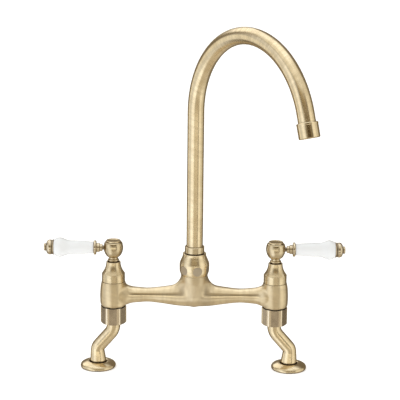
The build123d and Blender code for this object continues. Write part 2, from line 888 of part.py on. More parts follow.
def make_grip_cushions():
    """Two thin washers that keep the porcelain off the brass."""
    first = ring(rod_radius + grip_bore_gap, grip_start_radius - cushion_inset, stem_end, grip_start)
    second = ring(rod_radius + grip_bore_gap, grip_end_radius - cushion_inset, grip_end, lever_cap_start)
    return [first, second]


def make_lever_rod():
    """Steel rod through the grip, threaded into the stem and into the end cap."""
    return rod(
        rod_radius,
        stem_end - rod_grip_length + joint_gap,
        lever_cap_start + rod_grip_length - joint_gap,
    )


def make_lever_end_cap():
    """Domed brass cap with a button on its tip."""
    dome_end = lever_cap_start + cap_dome_length
    tip = dome_end + cap_button_length
    cap = turned(
        line(
            (0, lever_cap_start),
            (cap_lip_radius - 0.2, lever_cap_start),
            (cap_lip_radius, lever_cap_start + 0.3),
            (cap_hollow_radius, lever_cap_start + cap_band_start * 0.4),
            (cap_hollow_radius, lever_cap_start + cap_band_start * 0.85),
            (cap_band_radius, lever_cap_start + cap_band_start),
        ),
        curve(
            (cap_band_radius, lever_cap_start + cap_band_start + 0.1),
            (cap_band_radius + 0.1, lever_cap_start + cap_band_start + 1.3),
            (cap_band_radius - 0.4, dome_end - 1.9),
            (cap_button_radius + 2.2, dome_end - 0.5),
            (cap_button_radius - 0.7, dome_end),
        ),
        line(
            (cap_button_radius - cap_button_groove, dome_end),
            (cap_button_radius - cap_button_groove, dome_end + cap_button_groove / 2),
        ),
        curve(
            (cap_button_radius - 0.3, dome_end + cap_button_groove / 2),
            (cap_button_radius, dome_end + 1.3),
            (cap_button_radius - 0.4, tip - 0.4),
            (cap_button_radius - 1.2, tip),
        ),
        line((0, tip), (0, lever_cap_start)),
    )
    return cap - rod(rod_radius + thread_gap, lever_cap_start, lever_cap_start + rod_grip_length)


# ---- spout -----------------------------------------------------------------------
def spout_path(bottom):
    """Centre line of the swan neck in its own upright plane, reaching along +X."""
    turn = math.radians(bend_angle)
    middle = turn / 2
    bend_start = (0, 0, riser_top)
    bend_middle = (
        bend_radius * (1 - math.cos(middle)),
        0,
        riser_top + bend_radius * math.sin(middle),
    )
    bend_end = (
        bend_radius * (1 - math.cos(turn)),
        0,
        riser_top + bend_radius * math.sin(turn),
    )
    run = outlet_length + tube_socket_length
    outlet = (
        bend_end[0] + run * math.sin(turn),
        0,
        bend_end[2] + run * math.cos(turn),
    )
    edges = Line((0, 0, bottom), bend_start).edges()
    edges += ThreePointArc(bend_start, bend_middle, bend_end).edges()
    edges += Line(bend_end, outlet).edges()
    return Wire(edges)


def nozzle_place():
    """Frame of the nozzle: origin where its top ledge sits on the tube, Z along the water."""
    turn = math.radians(bend_angle)
    reach = bend_radius * (1 - math.cos(turn)) + outlet_length * math.sin(turn)
    level = riser_top + bend_radius * math.sin(turn) + outlet_length * math.cos(turn)
    frame = Plane(
        origin=(reach, 0, level),
        x_dir=(math.cos(turn), 0, -math.sin(turn)),
        z_dir=(math.sin(turn), 0, math.cos(turn)),
    )
    return Rot(0, 0, spout_swing) * frame.location


def make_spout_tube():
    """Swan-neck tube."""
    path = spout_path(shoulder_top)
    start = Plane(origin=path @ 0, z_dir=(0, 0, 1))
    tube = sweep(start * Circle(tube_radius), path=path)
    tube -= sweep(start * Circle(tube_bore_radius), path=path)
    return Rot(0, 0, spout_swing) * tube


def make_spout_collar():
    """Turned collar soldered round the foot of the tube."""
    top = spout_collar_bottom + spout_collar_height
    soft = spout_collar_edge
    return turned(
        line(
            (tube_radius + joint_gap, spout_collar_bottom),
            (spout_collar_radius - soft, spout_collar_bottom),
            (spout_collar_radius, spout_collar_bottom + soft),
            (spout_collar_radius, top - soft),
            (spout_collar_radius - soft, top),
            (tube_radius + joint_gap, top),
        )
    )


def spigot_ring_levels():
    """Middle levels of the two rubber rings on the spigot."""
    bottom = shoulder_bottom - spigot_length
    return [bottom + ring_pitch * 0.5, bottom + ring_pitch * 1.5]


def spout_shoulder_radius():
    """Radius of the spigot's shoulder, inside the shroud nut."""
    return boss_thread_radius - swing_gap


def make_spout_spigot():
    """Turned spigot soldered into the tube: it turns in the boss and carries two rubber rings."""
    radius = spout_socket_radius - running_gap
    spigot = rod(radius, shoulder_bottom - spigot_length, shoulder_bottom)
    spigot += rod(spout_shoulder_radius(), shoulder_bottom, shoulder_top)
    spigot += rod(tube_bore_radius - joint_gap, shoulder_top, shoulder_top + spigot_sleeve_length)
    spigot -= rod(
        spigot_bore_radius, shoulder_bottom - spigot_length, shoulder_top + spigot_sleeve_length
    )
    for level in spigot_ring_levels():
        spigot -= ring(radius - ring_depth, radius * 2, level - ring_width / 2, level + ring_width / 2)
    return spigot


def make_spigot_rings():
    """The two rubber rings on the spigot."""
    radius = spout_socket_radius - running_gap
    rings = [
        rounded_ring(radius - ring_depth, radius, level, ring_width - 2 * joint_gap)
        for level in spigot_ring_levels()
    ]
    return Compound(rings)


def make_spout_bearings():
    """Two plain bearing rings, below and above the spigot's shoulder."""
    lower = ring(
        spout_socket_radius + bearing_side_gap,
        boss_thread_radius - bearing_side_gap,
        boss_end,
        boss_end + bearing_height,
    )
    upper = ring(
        tube_radius + swing_gap,
        boss_thread_radius - bearing_side_gap,
        upper_bearing_bottom,
        shroud_ceiling,
    )
    return Compound([lower, upper])


def make_shroud_nut():
    """Ball-shaped nut that holds the spout down, with round flats for the spanner."""
    nut = turned(
        curve(
            (shroud_foot_radius, boss_top),
            (shroud_foot_radius + 1.0, boss_top + shroud_height * 0.095),
            (shroud_radius - 0.2, boss_top + shroud_height * 0.19),
            (shroud_radius, boss_top + shroud_height * 0.38),
            (shroud_radius - 0.2, boss_top + shroud_height * 0.56),
            (shroud_radius - 1.05, boss_top + shroud_height * 0.655),
            (shroud_top_radius + 1.25, shroud_top - shroud_height * 0.24),
            (shroud_top_radius + 0.25, shroud_top - shroud_height * 0.15),
            (shroud_top_radius, shroud_top - shroud_edge),
        ),
        line(
            (shroud_top_radius - shroud_edge, shroud_top),
            (tube_radius + shroud_lip_gap + shroud_edge, shroud_top),
            (tube_radius + shroud_lip_gap, shroud_top - shroud_edge),
            (tube_radius + shroud_lip_gap, shroud_ceiling),
            (boss_thread_radius + thread_gap, shroud_ceiling),
            (boss_thread_radius + thread_gap, boss_top),
        ),
    )
    flat_face = shroud_radius - shroud_flat_depth
    for count in range(shroud_flats):
        turn = front + shroud_flat_turn + count * 360 / shroud_flats
        cutter = rod(shroud_flat_radius, flat_face, shroud_radius + shroud_flat_depth)
        nut -= Rot(0, 0, turn) * Pos(0, 0, boss_top + shroud_flat_rise) * Rot(0, 90, 0) * cutter
    return nut


# ---- nozzle ----------------------------------------------------------------------
def make_nozzle_housing():
    """Slightly tapered sleeve on the end of the tube, with a ledge at its top."""
    soft = nozzle_edge
    tube_seat = tube_radius + joint_gap
    step = nozzle_length - insert_length - aerator_washer_height
    return turned(
        line(
            (tube_seat, 0),
            (nozzle_top_radius - soft, 0),
            (nozzle_top_radius, soft),
            (nozzle_top_radius, nozzle_ledge + soft),
            (nozzle_top_radius - soft / 4, nozzle_ledge + 2 * soft),
            (nozzle_end_radius, nozzle_length - soft),
            (nozzle_end_radius - soft, nozzle_length),
            (nozzle_step_radius, nozzle_length),
            (nozzle_step_radius, step),
            (tube_bore_radius - tube_wall, step),
            (tube_bore_radius - tube_wall, tube_socket_length),
            (tube_seat, tube_socket_length),
        )
    )


def make_aerator_washer():
    """Rubber washer above the aerator insert."""
    top = nozzle_length - insert_length - aerator_washer_height
    return ring(
        tube_bore_radius - tube_wall,
        nozzle_step_radius - joint_gap,
        top,
        top + aerator_washer_height,
    )


def make_aerator_insert():
    """Plastic insert that breaks up the water, recessed in the mouth of the nozzle."""
    top = nozzle_length - insert_length
    radius = nozzle_step_radius - joint_gap
    insert = rod(radius, top, nozzle_length - aerator_recess)
    insert -= rod(radius - aerator_wall, top, top + insert_length / 4)
    for count in range(aerator_slot_count):
        offset = (count - (aerator_slot_count - 1) / 2) * aerator_slot_pitch
        length = 2 * math.sqrt((radius - 2 * aerator_wall) ** 2 - offset**2)
        insert -= Pos(offset, 0, top) * Box(
            aerator_slot_width, length, insert_length, align=(Align.CENTER, Align.CENTER, Align.MIN)
        )
    return insert


# ---- write every piece -----------------------------------------------------------
for side_name, side in (("left", -1), ("right", 1)):
    valve = Pos(side * valve_place, 0, 0)
    foot = Pos(side * foot_place, 0, 0)
    lever = valve * lever_place(side)
    save(f"{side_name}_leg", valve * make_leg(side))
    save(f"{side_name}_base_flange", foot * make_base_flange())
    save(f"{side_name}_deck_seal", foot * make_deck_seal())
    save(f"{side_name}_locking_screw", foot * make_locking_screw())
    save(f"{side_name}_union_nut", valve * make_union_nut())
    save(f"{side_name}_dust_ring", valve * make_dust_ring())
    save(f"{side_name}_union_washer", valve * make_union_washer())
    save(f"{side_name}_valve_insert", valve * make_valve_insert())
    save(f"{side_name}_seat_seal", valve * make_seat_seal())
    save(f"{side_name}_fixed_disc", valve * make_fixed_disc())
    save(f"{side_name}_moving_disc", valve * make_moving_disc())
    save(f"{side_name}_spindle", valve * make_spindle())
    save(f"{side_name}_spindle_rings", valve * make_spindle_rings())
    save(f"{side_name}_spindle_clip", valve * make_spindle_clip())
    save(f"{side_name}_bonnet", valve * make_bonnet())
    save(f"{side_name}_handle_hub", valve * make_handle_hub(side))
    save(f"{side_name}_hub_screw", valve * make_hub_screw())
    save(f"{side_name}_hub_cap", valve * make_hub_cap())
    save(f"{side_name}_lever_stem", lever * make_lever_stem())
    save(f"{side_name}_lever_grip", lever * make_lever_grip())
    save(f"{side_name}_grip_cushions", Compound([lever * piece for piece in make_grip_cushions()]))
    save(f"{side_name}_lever_rod", lever * make_lever_rod())
    save(f"{side_name}_lever_end_cap", lever * make_lever_end_cap())

save("bridge_body", make_bridge_body())
save("shroud_nut", make_shroud_nut())
save("spout_bearings", make_spout_bearings())
save("spout_spigot", make_spout_spigot())
save("spigot_rings", make_spigot_rings())
save("spout_collar", make_spout_collar())
save("spout_tube", make_spout_tube())
nozzle = nozzle_place()
save("nozzle_housing", nozzle * make_nozzle_housing())
save("aerator_washer", nozzle * make_aerator_washer())
save("aerator_insert", nozzle * make_aerator_insert())
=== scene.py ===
import math

import bpy
from mathutils import Matrix, Vector


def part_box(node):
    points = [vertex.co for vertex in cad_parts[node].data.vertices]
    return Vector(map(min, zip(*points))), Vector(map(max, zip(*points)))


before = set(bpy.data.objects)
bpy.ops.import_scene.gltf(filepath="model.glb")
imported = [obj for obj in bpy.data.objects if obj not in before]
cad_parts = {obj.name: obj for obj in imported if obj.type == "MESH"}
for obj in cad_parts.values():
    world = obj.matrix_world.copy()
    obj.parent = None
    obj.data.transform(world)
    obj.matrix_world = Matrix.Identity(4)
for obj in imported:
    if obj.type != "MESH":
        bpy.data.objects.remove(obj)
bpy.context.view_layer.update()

# A bridge kitchen tap in brushed antique brass with white porcelain grips, on a pale table in
# a soft studio.  Lengths are in metres.  The user stands on the -Y side.

MM = 0.001
SIDES = ("left", "right")

# ---- camera ----------------------------------------------------------------------
CAMERA_PLACE = (5.4 * MM, -1684 * MM, 609 * MM)
CAMERA_PITCH = 13.83  # degrees below the horizon
CAMERA_ROLL = 0.62  # degrees
CAMERA_LENS = 141.9  # millimetres, as Blender takes it
CAMERA_SENSOR = 36.0  # millimetres


# ---- places read from the frame ----------------------------------------------------
def middle(node):
    """Centre of a piece at rest."""
    low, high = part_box(node)
    return (low + high) / 2


def neck_top():
    """The highest point of the spout's tube, which lies one bend radius out from the riser."""
    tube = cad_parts["spout_tube"].data
    top = max(vertex.co.z for vertex in tube.vertices)
    highest = [vertex.co for vertex in tube.vertices if vertex.co.z > top - 0.02 * MM]
    return sum(highest, Vector()) / len(highest)


VALVE_PLACE = middle("right_bonnet").x  # a valve's axis, sideways from the middle of the bridge
FOOT_PLACE = middle("right_base_flange").x  # a foot's axis, sideways from the middle of the bridge
TUBE_RADIUS = -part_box("spout_tube")[0].x  # the riser stands on the middle of the bridge
NECK_TOP = neck_top()
BEND_RADIUS = math.hypot(NECK_TOP.x, NECK_TOP.y)
BEND_DIRECTION = Vector((NECK_TOP.x, NECK_TOP.y, 0)).normalized()
BEND_LEVEL = NECK_TOP.z - BEND_RADIUS - TUBE_RADIUS  # where the riser goes over into the bend
NOZZLE_AXIS = (middle("nozzle_housing") - middle("aerator_insert")).normalized()
NUT_FLAT_PLACE = -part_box("right_union_nut")[0].y  # from the nut's axis
END_CAP_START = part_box("right_lever_end_cap")[0].x

# ---- places that the frame doesn't name --------------------------------------------
SHROUD_FLATS = 6  # round flats on the shroud nut
SHROUD_FLAT_TURN = math.radians(13)  # of the front flat, from straight ahead towards the right
SHROUD_FLAT_RADIUS = 5.3 * MM
SHROUD_FLAT_FACE = 15.5 * MM  # from the nut's axis out to a flat
SHROUD_FLAT_RISE = 7.2 * MM  # from the nut's foot up to the middle of a flat
SHROUD_FLAT_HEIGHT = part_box("shroud_nut")[0].z + SHROUD_FLAT_RISE

LEG_SLOPE = math.radians(41)  # of a leg's sloping run, from level

# Where one finish blends into the next, each as the place with none of it and the place with all of it.
BARREL_BLEND = (13 * MM, 20 * MM)  # inward from a valve's axis
BOSS_TOP_BLEND = (104 * MM, 96 * MM)  # heights above the table
BOSS_SIDE_BLEND = (26 * MM, 12 * MM)  # sideways from the middle of the bridge
BOSS_SHADE_BLEND = (3 * MM, 9 * MM)  # to the right of the middle of the bridge
CRANK_BLEND = (9 * MM, 5 * MM)  # sideways from the middle of a leg's sloping run
FLAT_BLEND = (0.2 * MM, -0.2 * MM)  # outward from the rim of a round flat
CORNER_BLEND = (0.45 * MM, 1.0 * MM)  # outward from the flats of a union nut
HOLLOW_START_BLEND = (0.5 * MM, 0.9 * MM)  # outward from the start of a lever's end cap
HOLLOW_END_BLEND = (2.9 * MM, 2.5 * MM)  # outward from the start of a lever's end cap


# ---- node helpers ------------------------------------------------------------------
class Nodes:
    """Adds nodes to one shader tree, links them and lays them out in columns."""

    def __init__(self, tree):
        self.tree = tree
        self.count = 0

    def add(self, kind, settings=None, **inputs):
        node = self.tree.nodes.new("ShaderNode" + kind)
        node.location = (180 * self.count, -60 * (self.count % 5))
        self.count += 1
        for key, value in (settings or {}).items():
            setattr(node, key, value)
        for key, value in inputs.items():
            self.feed(node, key.replace("_", " "), value)
        return node

    def add_raw(self, kind):
        node = self.tree.nodes.new(kind)
        node.location = (180 * self.count, 0)
        self.count += 1
        return node

    def feed(self, node, socket, value):
        """Sets or links an input, named by its label or by its number."""
        target = node.inputs[int(socket)] if socket.isdigit() else node.inputs[socket]
        if isinstance(value, bpy.types.NodeSocket):
            self.tree.links.new(value, target)
        else:
            target.default_value = value

    def math(self, operation, first, second=0.0, third=0.0):
        node = self.add("Math", {"operation": operation})
        for index, value in enumerate((first, second, third)):
            self.feed(node, str(index), value)
        return node.outputs[0]

    def vector(self, operation, first, second=(0, 0, 0)):
        node = self.add("VectorMath", {"operation": operation})
        self.feed(node, "0", first)
        self.feed(node, "1", second)
        return node.outputs["Value" if operation in ("DOT_PRODUCT", "LENGTH") else "Vector"]

    def soft_step(self, value, start, end):
        """0 at the start, 1 at the end, and smooth between them."""
        node = self.add("MapRange", {"interpolation_type": "SMOOTHSTEP"})
        self.feed(node, "Value", value)
        self.feed(node, "From Min", start)
        self.feed(node, "From Max", end)
        return node.outputs["Result"]

    def blend(self, share, first, second):
        """Mixes two colours, or two numbers, by a share."""
        numbers = all(getattr(value, "type", "") == "VALUE" for value in (first, second))
        node = self.add("Mix", {"data_type": "FLOAT" if numbers else "RGBA"})
        base = 2 if numbers else 6
        self.feed(node, "0", share)
        self.feed(node, str(base), first)
        self.feed(node, str(base + 1), second)
        return node.outputs[0 if numbers else 2]

    def noise(self, place, scale, detail=2.0, roughness=0.5):
        node = self.add("TexNoise", Vector=place, Scale=scale, Detail=detail, Roughness=roughness)
        return node.outputs["Fac"]

    def parts(self, vector):
        return self.add("SeparateXYZ", Vector=vector).outputs

    def join(self, x, y, z):
        return self.add("CombineXYZ", X=x, Y=y, Z=z).outputs[0]


def new_group(name, inputs, outputs):
    """A shader node group with named inputs and outputs.  Gives its Nodes, what comes in, and the node
    that its outputs are fed to."""
    tree = bpy.data.node_groups.new(name, "ShaderNodeTree")
    for label, kind, value in inputs:
        socket = tree.interface.new_socket(label, in_out="INPUT", socket_type="NodeSocket" + kind)
        if value is not None:
            socket.default_value = value
    for label, kind in outputs:
        tree.interface.new_socket(label, in_out="OUTPUT", socket_type="NodeSocket" + kind)
    nodes = Nodes(tree)
    return nodes, nodes.add_raw("NodeGroupInput").outputs, nodes.add_raw("NodeGroupOutput")


def use_group(nodes, group, **inputs):
    node = nodes.add_raw("ShaderNodeGroup")
    node.node_tree = group
    for key, value in inputs.items():
        nodes.feed(node, key.replace("_", " "), value)
    return node.outputs


# ---- shared surface effects ----------------------------------------------------------
LINE_PITCH = 0.45 * MM
LINE_LENGTH = 14 * MM


def make_brush_lines():
    """Fine lines left by a brushing belt.  They run across the direction in which Along grows."""
    nodes, given, out = new_group(
        "brush lines",
        [
            ("Place", "Vector", None),
            ("Along", "Float", 0.0),
            ("Pitch", "Float", LINE_PITCH),
            ("Length", "Float", LINE_LENGTH),
        ],
        [("Lines", "Float"), ("Bands", "Float")],
    )
    slow = nodes.vector("SCALE", given["Place"])
    nodes.feed(slow.node, "Scale", nodes.math("DIVIDE", 1.0, given["Length"]))
    quick = nodes.math("DIVIDE", given["Along"], given["Pitch"])
    shift = nodes.join(quick, nodes.math("MULTIPLY", quick, 0.37), 0.0)
    place = nodes.vector("ADD", slow, shift)
    fine = nodes.noise(place, scale=1.0, detail=3.0, roughness=0.65)
    broad_place = nodes.vector("ADD", slow, nodes.join(nodes.math("MULTIPLY", quick, 0.09), 0.0, 0.0))
    broad = nodes.noise(broad_place, scale=1.0)
    nodes.feed(out, "Lines", nodes.soft_step(fine, 0.25, 0.75))
    nodes.feed(out, "Bands", nodes.soft_step(broad, 0.3, 0.7))
    return nodes.tree


def make_patina():
    """Masks for the brown antiquing and painted shade that darken corners, and for the bright brass on rubbed
    edges.
    """
    nodes, given, out = new_group(
        "patina",
        [("Place", "Vector", None), ("Reach", "Float", 3.0 * MM), ("Rim", "Float", 0.5 * MM)],
        [("Corners", "Float"), ("Rims", "Float"), ("Clouds", "Float")],
    )
    # The corner mask is dark where the surroundings close in: painted shade, together with the antiquing.
    shade = nodes.add("AmbientOcclusion", {"samples": 6, "only_local": False}, Distance=given["Reach"])
    clouds = nodes.noise(given["Place"], scale=70.0, detail=4.0, roughness=0.6)
    speckle = nodes.noise(given["Place"], scale=900.0)
    open_sky = nodes.math("ADD", shade.outputs["AO"], nodes.math("MULTIPLY_ADD", speckle, 0.16, -0.08))
    nodes.feed(out, "Corners", nodes.soft_step(open_sky, 0.80, 0.45))
    worn = nodes.add("Bevel", {"samples": 4}, Radius=given["Rim"])
    true_normal = nodes.add("NewGeometry").outputs["Normal"]
    bend = nodes.vector("DOT_PRODUCT", worn.outputs[0], true_normal)
    rims = nodes.soft_step(bend, 0.995, 0.90)
    rubbed = nodes.math("MULTIPLY", rims, nodes.soft_step(shade.outputs["AO"], 0.45, 0.85))
    nodes.feed(out, "Rims", nodes.math("MULTIPLY", rubbed, nodes.soft_step(clouds, 0.2, 0.6)))
    nodes.feed(out, "Clouds", nodes.soft_step(clouds, 0.3, 0.7))
    return nodes.tree


BRUSH_LINES = make_brush_lines()
PATINA = make_patina()


# ---- which way each piece was brushed ---------------------------------------------------
def object_place(nodes):
    return nodes.add("TexCoord").outputs["Object"]


def round_upright(nodes, place):
    """Brushed round an upright axis: the lines lie level."""
    return nodes.parts(place)["Z"]


def round_sideways(nodes, place):
    """Brushed round a level axis along X, as the bridge's arms and the levers are."""
    return nodes.parts(place)["X"]


def round_nozzle(nodes, place):
    return nodes.vector("DOT_PRODUCT", place, tuple(NOZZLE_AXIS))


def round_neck(nodes, place):
    """Distance along the swan neck: up the riser, then round the bend."""
    reach = nodes.vector("DOT_PRODUCT", place, tuple(BEND_DIRECTION))
    level = nodes.math("SUBTRACT", nodes.parts(place)["Z"], BEND_LEVEL)
    above = nodes.math("MAXIMUM", level, 0.0)
    inward = nodes.math("SUBTRACT", BEND_RADIUS, reach)
    turn = nodes.math("ARCTAN2", above, inward)
    below = nodes.math("MINIMUM", level, 0.0)
    return nodes.math("MULTIPLY_ADD", turn, BEND_RADIUS, below)


def round_crank(nodes, place):
    """Across the sloping run of a cranked leg; both legs are handled alike."""
    parts = nodes.parts(place)
    outward = nodes.math("ABSOLUTE", parts["X"])
    up = nodes.math("MULTIPLY", parts["Z"], math.cos(LEG_SLOPE))
    return nodes.math("MULTIPLY_ADD", outward, -math.sin(LEG_SLOPE), up)


def upright_faces(nodes, place):
    """Lines that stand upright, as on the flats of a nut."""
    parts = nodes.parts(place)
    return nodes.math("ADD", parts["X"], nodes.math("MULTIPLY", parts["Y"], 1.7))


def upright_axis(nodes, place):
    return nodes.join(0.0, 0.0, 1.0)


def sideways_axis(nodes, place):
    return nodes.join(1.0, 0.0, 0.0)


def nozzle_axis(nodes, place):
    return nodes.join(*NOZZLE_AXIS)


def neck_axis(nodes, place):
    """Direction in which the swan neck runs: up the riser, then round the bend."""
    reach = nodes.vector("DOT_PRODUCT", place, tuple(BEND_DIRECTION))
    above = nodes.math("MAXIMUM", nodes.math("SUBTRACT", nodes.parts(place)["Z"], BEND_LEVEL), 0.0)
    inward = nodes.math("SUBTRACT", BEND_RADIUS, reach)
    flat = nodes.vector("SCALE", tuple(BEND_DIRECTION))
    nodes.feed(flat.node, "Scale", above)
    return nodes.vector("ADD", flat, nodes.join(0.0, 0.0, inward))


def crank_axis(nodes, place):
    """Direction in which the sloping run of a cranked leg falls, on either side of the tap."""
    side = nodes.math("SIGN", nodes.parts(place)["X"])
    return nodes.join(nodes.math("MULTIPLY", side, -math.sin(LEG_SLOPE)), 0.0, math.cos(LEG_SLOPE))


def lines_of(nodes, place, brushed, pitch, length):
    return use_group(nodes, BRUSH_LINES, Place=place, Along=brushed(nodes, place), Pitch=pitch, Length=length)


def one_way(brushed, axis, pitch=LINE_PITCH, length=LINE_LENGTH):
    """A piece brushed one way all over."""

    def surface(nodes, place):
        found = lines_of(nodes, place, brushed, pitch, length)
        return found["Lines"], found["Bands"], axis(nodes, place)

    return surface


def two_ways(first, first_axis, second, second_axis, share):
    """A piece brushed one way in one region and another way in the rest."""

    def surface(nodes, place):
        one = lines_of(nodes, place, first, LINE_PITCH, LINE_LENGTH)
        two = lines_of(nodes, place, second, LINE_PITCH, LINE_LENGTH)
        mask = share(nodes, place)
        lines = nodes.blend(mask, one["Lines"], two["Lines"])
        bands = nodes.blend(mask, one["Bands"], two["Bands"])
        axis = nodes.add("Mix", {"data_type": "VECTOR"})
        nodes.feed(axis, "0", mask)
        nodes.feed(axis, "4", first_axis(nodes, place))
        nodes.feed(axis, "5", second_axis(nodes, place))
        return lines, bands, axis.outputs[1]

    return surface


def on_the_arms(nodes, place):
    """1 on the bridge's arms, 0 on the barrels and on the neck of the middle boss."""
    parts = nodes.parts(place)
    sideways = nodes.math("ABSOLUTE", parts["X"])
    clear_of_barrel = nodes.soft_step(sideways, *(VALVE_PLACE - inward for inward in BARREL_BLEND))
    clear_of_boss = nodes.soft_step(parts["Z"], *BOSS_TOP_BLEND)
    return nodes.math("MULTIPLY", clear_of_barrel, clear_of_boss)


def on_the_boss(nodes, place):
    """1 on the bridge's middle boss and its flare."""
    sideways = nodes.math("ABSOLUTE", nodes.parts(place)["X"])
    return nodes.soft_step(sideways, *BOSS_SIDE_BLEND)


def on_the_boss_right(nodes, place):
    """1 on the right third of the middle boss, which is painted darker as shade."""
    right_side = nodes.soft_step(nodes.parts(place)["X"], *BOSS_SHADE_BLEND)
    return nodes.math("MULTIPLY", right_side, on_the_boss(nodes, place))


def on_the_crank(nodes, place):
    """1 on the sloping run of a leg, 0 on its foot and neck."""
    outward = nodes.math("ABSOLUTE", nodes.parts(place)["X"])
    crank_middle = (VALVE_PLACE + FOOT_PLACE) / 2
    off_middle = nodes.math("ABSOLUTE", nodes.math("SUBTRACT", outward, crank_middle))
    return nodes.soft_step(off_middle, *CRANK_BLEND)


def on_the_milled_flats(nodes, place):
    """1 on the round flats of the shroud nut."""
    nearest = None
    for count in range(SHROUD_FLATS):
        turn = SHROUD_FLAT_TURN + count * math.tau / SHROUD_FLATS
        sideways = SHROUD_FLAT_FACE * math.sin(turn)
        forward = -SHROUD_FLAT_FACE * math.cos(turn)
        offset = nodes.vector("SUBTRACT", place, (sideways, forward, SHROUD_FLAT_HEIGHT))
        away = nodes.vector("LENGTH", offset)
        nearest = away if nearest is None else nodes.math("MINIMUM", nearest, away)
    return nodes.soft_step(nearest, *(SHROUD_FLAT_RADIUS + outward for outward in FLAT_BLEND))


def on_the_nut_corners(nodes, place):
    """1 on the six upright corners of a union nut, which lie further from its axis than its flats; they are
    painted bright as highlights.
    """
    parts = nodes.parts(place)
    sideways = nodes.math("SUBTRACT", nodes.math("ABSOLUTE", parts["X"]), VALVE_PLACE)
    across = nodes.vector("LENGTH", nodes.join(sideways, parts["Y"], 0.0))
    return nodes.soft_step(across, *(NUT_FLAT_PLACE + outward for outward in CORNER_BLEND))


def in_the_cap_hollow(nodes, place):
    """1 in the hollow round each lever's end cap, next to the porcelain, where shade is painted."""
    outward = nodes.math("SUBTRACT", nodes.math("ABSOLUTE", nodes.parts(place)["X"]), END_CAP_START)
    inner = nodes.soft_step(outward, *HOLLOW_START_BLEND)
    return nodes.math("MULTIPLY", inner, nodes.soft_step(outward, *HOLLOW_END_BLEND))


# ---- materials --------------------------------------------------------------------------
TURNED_COLOURS = {"light": (0.78, 0.66, 0.45), "deep": (0.66, 0.54, 0.35)}
MILLED_BRASS = (0.60, 0.53, 0.44)
# Rubbed bright brass; on the corners of the union nuts it is a painted highlight.
RUBBED_AND_HIGHLIGHT_BRASS = (0.95, 0.82, 0.62)
# Painted shade: a dark brown laid on the right side of the middle boss and in the hollows round the end caps.
SHADE_PAINTED_BRASS = (0.20, 0.15, 0.09)
BROWN_PATINA_AND_SHADE = (0.17, 0.105, 0.045)  # the antiquing and the painted shade in the corners
GLAZE_WHITE = (0.87, 0.895, 0.935, 1)
GLAZE_GREY = (0.845, 0.87, 0.905, 1)
GLAZE_PRICK = (0.55, 0.52, 0.48, 1)
BRUSH_DEPTH = 0.011 * MM
TURNING_DEPTH = 0.008 * MM
GRAIN_DEPTH = 0.02 * MM
GLAZE_DEPTH = 0.02 * MM


def new_material(name):
    material = bpy.data.materials.new(name)
    material.use_nodes = True
    material.node_tree.nodes.clear()
    nodes = Nodes(material.node_tree)
    shader = nodes.add("BsdfPrincipled")
    out = nodes.add("OutputMaterial")
    nodes.feed(out, "Surface", shader.outputs[0])
    return material, nodes, shader


def antique_brass(
    name,
    brushed,
    light=(0.90, 0.76, 0.52),
    deep=(0.82, 0.67, 0.43),
    roughness=0.22,
    corner_patina_and_shade=0.92,
    pull=0.75,
    marks=(),
):
    """Brushed brass, antiqued brown with painted shade in its corners and bright on its rubbed edges.  Pull
    is how far the brushing draws out the highlights.  Marks are places with a finish of their own, with
    painted shade, or with painted highlights, each given as where it is, its colour, how strong it is, and
    how much rougher."""
    material, nodes, shader = new_material(name)
    place = object_place(nodes)
    lines, bands, axis = brushed(nodes, place)
    masks = use_group(nodes, PATINA, Place=place)
    colour = nodes.blend(masks["Clouds"], (*light, 1), (*deep, 1))
    colour = nodes.blend(nodes.math("MULTIPLY", lines, 0.22), colour, (*deep, 1))
    colour = nodes.blend(nodes.math("MULTIPLY", bands, 0.12), colour, (*BROWN_PATINA_AND_SHADE, 1))
    # Painted shade: corners and creases are darkened brown by the occlusion mask, together with the
    # antiquing.
    colour = nodes.blend(nodes.math("MULTIPLY", masks["Corners"], corner_patina_and_shade), colour, (*BROWN_PATINA_AND_SHADE, 1))
    bright = tuple(min(channel * 1.12, 1.0) for channel in light)
    colour = nodes.blend(nodes.math("MULTIPLY", masks["Rims"], 0.6), colour, (*bright, 1))
    shader.inputs["Metallic"].default_value = 1.0
    rough = nodes.math("MULTIPLY_ADD", bands, 0.07, roughness - 0.035)
    rough = nodes.math("MULTIPLY_ADD", masks["Corners"], 0.2, rough)
    for where, tint, strength, rougher in marks:
        share = where(nodes, place)
        colour = nodes.blend(nodes.math("MULTIPLY", share, strength), colour, (*tint, 1))
        rough = nodes.math("MULTIPLY_ADD", share, rougher, rough)
    nodes.feed(shader, "Base Color", colour)
    nodes.feed(shader, "Roughness", rough)
    bump = nodes.add("Bump", Strength=1.0, Distance=BRUSH_DEPTH, Height=lines)
    nodes.feed(shader, "Normal", bump.outputs[0])
    turned = {"vector_type": "VECTOR", "convert_from": "OBJECT", "convert_to": "WORLD"}
    nodes.feed(shader, "Tangent", nodes.add("VectorTransform", turned, Vector=axis).outputs[0])
    shader.inputs["Anisotropic"].default_value = pull
    return material


def porcelain(name):
    """White glazed porcelain: a faint waviness in the glaze and a few pin-pricks."""
    material, nodes, shader = new_material(name)
    place = object_place(nodes)
    clouds = nodes.noise(place, scale=45.0, detail=3.0)
    colour = nodes.blend(clouds, GLAZE_WHITE, GLAZE_GREY)
    pricks = nodes.soft_step(nodes.noise(place, scale=1600.0, detail=1.0), 0.24, 0.20)
    colour = nodes.blend(nodes.math("MULTIPLY", pricks, 0.35), colour, GLAZE_PRICK)
    nodes.feed(shader, "Base Color", colour)
    nodes.feed(shader, "Roughness", nodes.math("MULTIPLY_ADD", clouds, 0.06, 0.12))
    wave = nodes.noise(place, scale=220.0, detail=1.0)
    bump = nodes.add("Bump", Strength=0.5, Distance=GLAZE_DEPTH, Height=wave)
    nodes.feed(shader, "Normal", bump.outputs[0])
    shader.inputs["Coat Weight"].default_value = 0.4
    shader.inputs["Coat Roughness"].default_value = 0.04
    shader.inputs["Specular IOR Level"].default_value = 0.25
    return material


